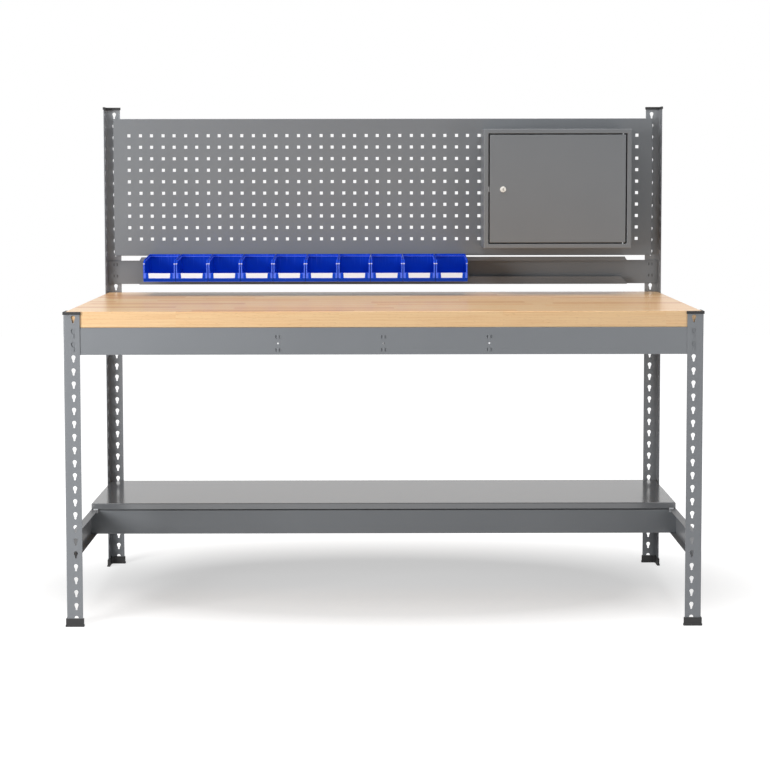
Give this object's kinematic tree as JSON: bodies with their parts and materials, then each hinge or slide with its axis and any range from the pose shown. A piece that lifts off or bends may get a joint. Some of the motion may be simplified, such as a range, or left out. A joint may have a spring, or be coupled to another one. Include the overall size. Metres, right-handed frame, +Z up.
{
  "type": "workbench",
  "caption": "Steel workbench with wooden top, half-depth lower shelf, perforated tool panel, rail of open-fronted bins and a small lockable cabinet.",
  "frame": {"origin": "on the floor, in the middle of the four feet", "axes": "+X to the right along the bench, +Y from the user's side to the back, +Z up"},
  "size_m": [1.8474, 0.7824, 1.53],
  "materials": {
    "powder_coat": "satin dark grey powder coat",
    "shelf_coat": "satin grey powder coat",
    "beech": "oiled finger-jointed beech staves",
    "black_plastic": "matte moulded black",
    "blue_plastic": "glossy moulded blue",
    "label_card": "plain white card",
    "nickel": "nickel plate",
    "zinc": "bright zinc plate"
  },
  "bodies": {
    "root": {"post_front_left": "powder_coat", "foot_front_left": "black_plastic", "post_cap_front_left": "black_plastic", "post_front_right": "powder_coat", "foot_front_right": "black_plastic", "post_cap_front_right": "black_plastic", "post_rear_left": "powder_coat", "foot_rear_left": "black_plastic", "post_cap_rear_left": "black_plastic", "post_rear_right": "powder_coat", "foot_rear_right": "black_plastic", "post_cap_rear_right": "black_plastic", "worktop": "beech", "beam_worktop_front": "powder_coat", "beam_worktop_rear": "powder_coat", "beam_worktop_left": "powder_coat", "beam_worktop_right": "powder_coat", "beam_shelf_front": "powder_coat", "beam_shelf_rear": "powder_coat", "beam_shelf_left": "powder_coat", "beam_shelf_right": "powder_coat", "cross_tie": "powder_coat", "tool_panel": "powder_coat", "bin_rail": "powder_coat", "cabinet_body": "powder_coat", "lower_shelf": "shelf_coat", "lock_keeper": "zinc", "hinge_pin_top": "zinc", "hinge_pin_bottom": "zinc", "cabinet_strap_left": "zinc", "cabinet_strap_right": "zinc"},
    "door": {"cabinet_door": "powder_coat", "lock_housing": "nickel", "lock_nut": "zinc"},
    "lock": {"lock_plug": "nickel", "lock_cam": "zinc", "cam_screw": "zinc"},
    "bin_01": {"bin_01": "blue_plastic", "bin_label_01": "label_card"},
    "bin_02": {"bin_02": "blue_plastic", "bin_label_02": "label_card"},
    "bin_03": {"bin_03": "blue_plastic", "bin_label_03": "label_card"},
    "bin_04": {"bin_04": "blue_plastic", "bin_label_04": "label_card"},
    "bin_05": {"bin_05": "blue_plastic", "bin_label_05": "label_card"},
    "bin_06": {"bin_06": "blue_plastic", "bin_label_06": "label_card"},
    "bin_07": {"bin_07": "blue_plastic", "bin_label_07": "label_card"},
    "bin_08": {"bin_08": "blue_plastic", "bin_label_08": "label_card"},
    "bin_09": {"bin_09": "blue_plastic", "bin_label_09": "label_card"},
    "bin_10": {"bin_10": "blue_plastic", "bin_label_10": "label_card"}
  },
  "joints": [
    {"name": "door_hinge", "type": "hinge", "parent": "root", "child": "door", "pos_m": [0.7711, 0.1966, 1.2615], "axis": [0, 0, 1], "range_deg": [0, 110]},
    {"name": "lock_turn", "type": "hinge", "parent": "door", "child": "lock", "pos_m": [0.3846, 0.1861, 1.26], "axis": [0, 1, 0], "range_deg": [0, 90]},
    {"name": "bin_01_lift", "type": "slide", "parent": "root", "child": "bin_01", "axis": [0, 0, 1], "range_m": [0, 0.03]},
    {"name": "bin_02_lift", "type": "slide", "parent": "root", "child": "bin_02", "axis": [0, 0, 1], "range_m": [0, 0.03]},
    {"name": "bin_03_lift", "type": "slide", "parent": "root", "child": "bin_03", "axis": [0, 0, 1], "range_m": [0, 0.03]},
    {"name": "bin_04_lift", "type": "slide", "parent": "root", "child": "bin_04", "axis": [0, 0, 1], "range_m": [0, 0.03]},
    {"name": "bin_05_lift", "type": "slide", "parent": "root", "child": "bin_05", "axis": [0, 0, 1], "range_m": [0, 0.03]},
    {"name": "bin_06_lift", "type": "slide", "parent": "root", "child": "bin_06", "axis": [0, 0, 1], "range_m": [0, 0.03]},
    {"name": "bin_07_lift", "type": "slide", "parent": "root", "child": "bin_07", "axis": [0, 0, 1], "range_m": [0, 0.03]},
    {"name": "bin_08_lift", "type": "slide", "parent": "root", "child": "bin_08", "axis": [0, 0, 1], "range_m": [0, 0.03]},
    {"name": "bin_09_lift", "type": "slide", "parent": "root", "child": "bin_09", "axis": [0, 0, 1], "range_m": [0, 0.03]},
    {"name": "bin_10_lift", "type": "slide", "parent": "root", "child": "bin_10", "axis": [0, 0, 1], "range_m": [0, 0.03]}
  ]
}
